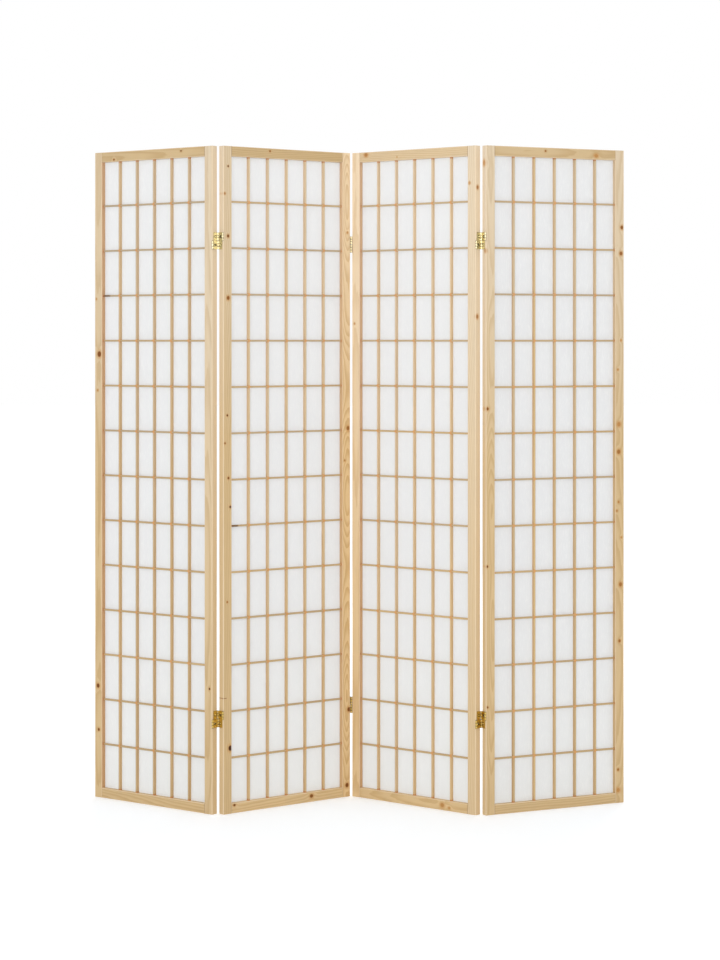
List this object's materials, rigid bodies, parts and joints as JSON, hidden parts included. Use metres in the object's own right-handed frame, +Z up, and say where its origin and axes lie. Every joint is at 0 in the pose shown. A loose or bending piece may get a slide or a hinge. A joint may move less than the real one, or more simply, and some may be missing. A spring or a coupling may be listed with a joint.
{
  "type": "folding screen",
  "caption": "Zigzag folding room screen: hinged softwood frames with a lattice of thin bars over white translucent paper, joined edge to edge by double-acting brass hinges.",
  "frame": {"origin": "on the floor, below the middle of the screen's footprint as it stands in its zigzag", "axes": "+Z up along the panels, +X to the right along the screen, +Y from the front side, where the lattice is, to the back"},
  "size_m": [1.453, 0.3054, 1.78],
  "materials": {
    "frame_wood": "pale softwood, planed, clear matt",
    "lattice_wood": "pale softwood strips, clear matt",
    "paper": "white fibrous translucent paper",
    "brass": "polished, lacquered"
  },
  "bodies": {
    "panel_1": {"panel_1_left_stile": "frame_wood", "panel_1_right_stile": "frame_wood", "panel_1_top_rail": "frame_wood", "panel_1_bottom_rail": "frame_wood", "panel_1_upright_bars": "lattice_wood", "panel_1_cross_bars": "lattice_wood", "panel_1_paper": "paper", "hinge_1_2_left_leaf": "brass", "hinge_1_2_left_link": "brass"},
    "panel_2": {"panel_2_left_stile": "frame_wood", "panel_2_right_stile": "frame_wood", "panel_2_top_rail": "frame_wood", "panel_2_bottom_rail": "frame_wood", "panel_2_upright_bars": "lattice_wood", "panel_2_cross_bars": "lattice_wood", "panel_2_paper": "paper", "hinge_1_2_right_leaf": "brass", "hinge_1_2_right_link": "brass", "hinge_2_3_left_leaf": "brass", "hinge_2_3_left_link": "brass"},
    "panel_3": {"panel_3_left_stile": "frame_wood", "panel_3_right_stile": "frame_wood", "panel_3_top_rail": "frame_wood", "panel_3_bottom_rail": "frame_wood", "panel_3_upright_bars": "lattice_wood", "panel_3_cross_bars": "lattice_wood", "panel_3_paper": "paper", "hinge_2_3_right_leaf": "brass", "hinge_2_3_right_link": "brass", "hinge_3_4_left_leaf": "brass", "hinge_3_4_left_link": "brass"},
    "panel_4": {"panel_4_left_stile": "frame_wood", "panel_4_right_stile": "frame_wood", "panel_4_top_rail": "frame_wood", "panel_4_bottom_rail": "frame_wood", "panel_4_upright_bars": "lattice_wood", "panel_4_cross_bars": "lattice_wood", "panel_4_paper": "paper", "hinge_3_4_right_leaf": "brass", "hinge_3_4_right_link": "brass"}
  },
  "joints": [
    {"name": "fold_1_2", "type": "hinge", "parent": "panel_2", "child": "panel_1", "pos_m": [-0.3722, -0.12135, 0.89], "axis": [0, 0, 1], "range_deg": [-103.6, 76.4]},
    {"name": "fold_2_3", "type": "hinge", "parent": "panel_2", "child": "panel_3", "pos_m": [-0.0182, 0.13309, 0.89], "axis": [0, 0, 1], "range_deg": [-100.3, 78.7]},
    {"name": "fold_3_4", "type": "hinge", "parent": "panel_3", "child": "panel_4", "pos_m": [0.32902, -0.13053, 0.89], "axis": [0, 0, 1], "range_deg": [-66.2, 113.8]}
  ]
}
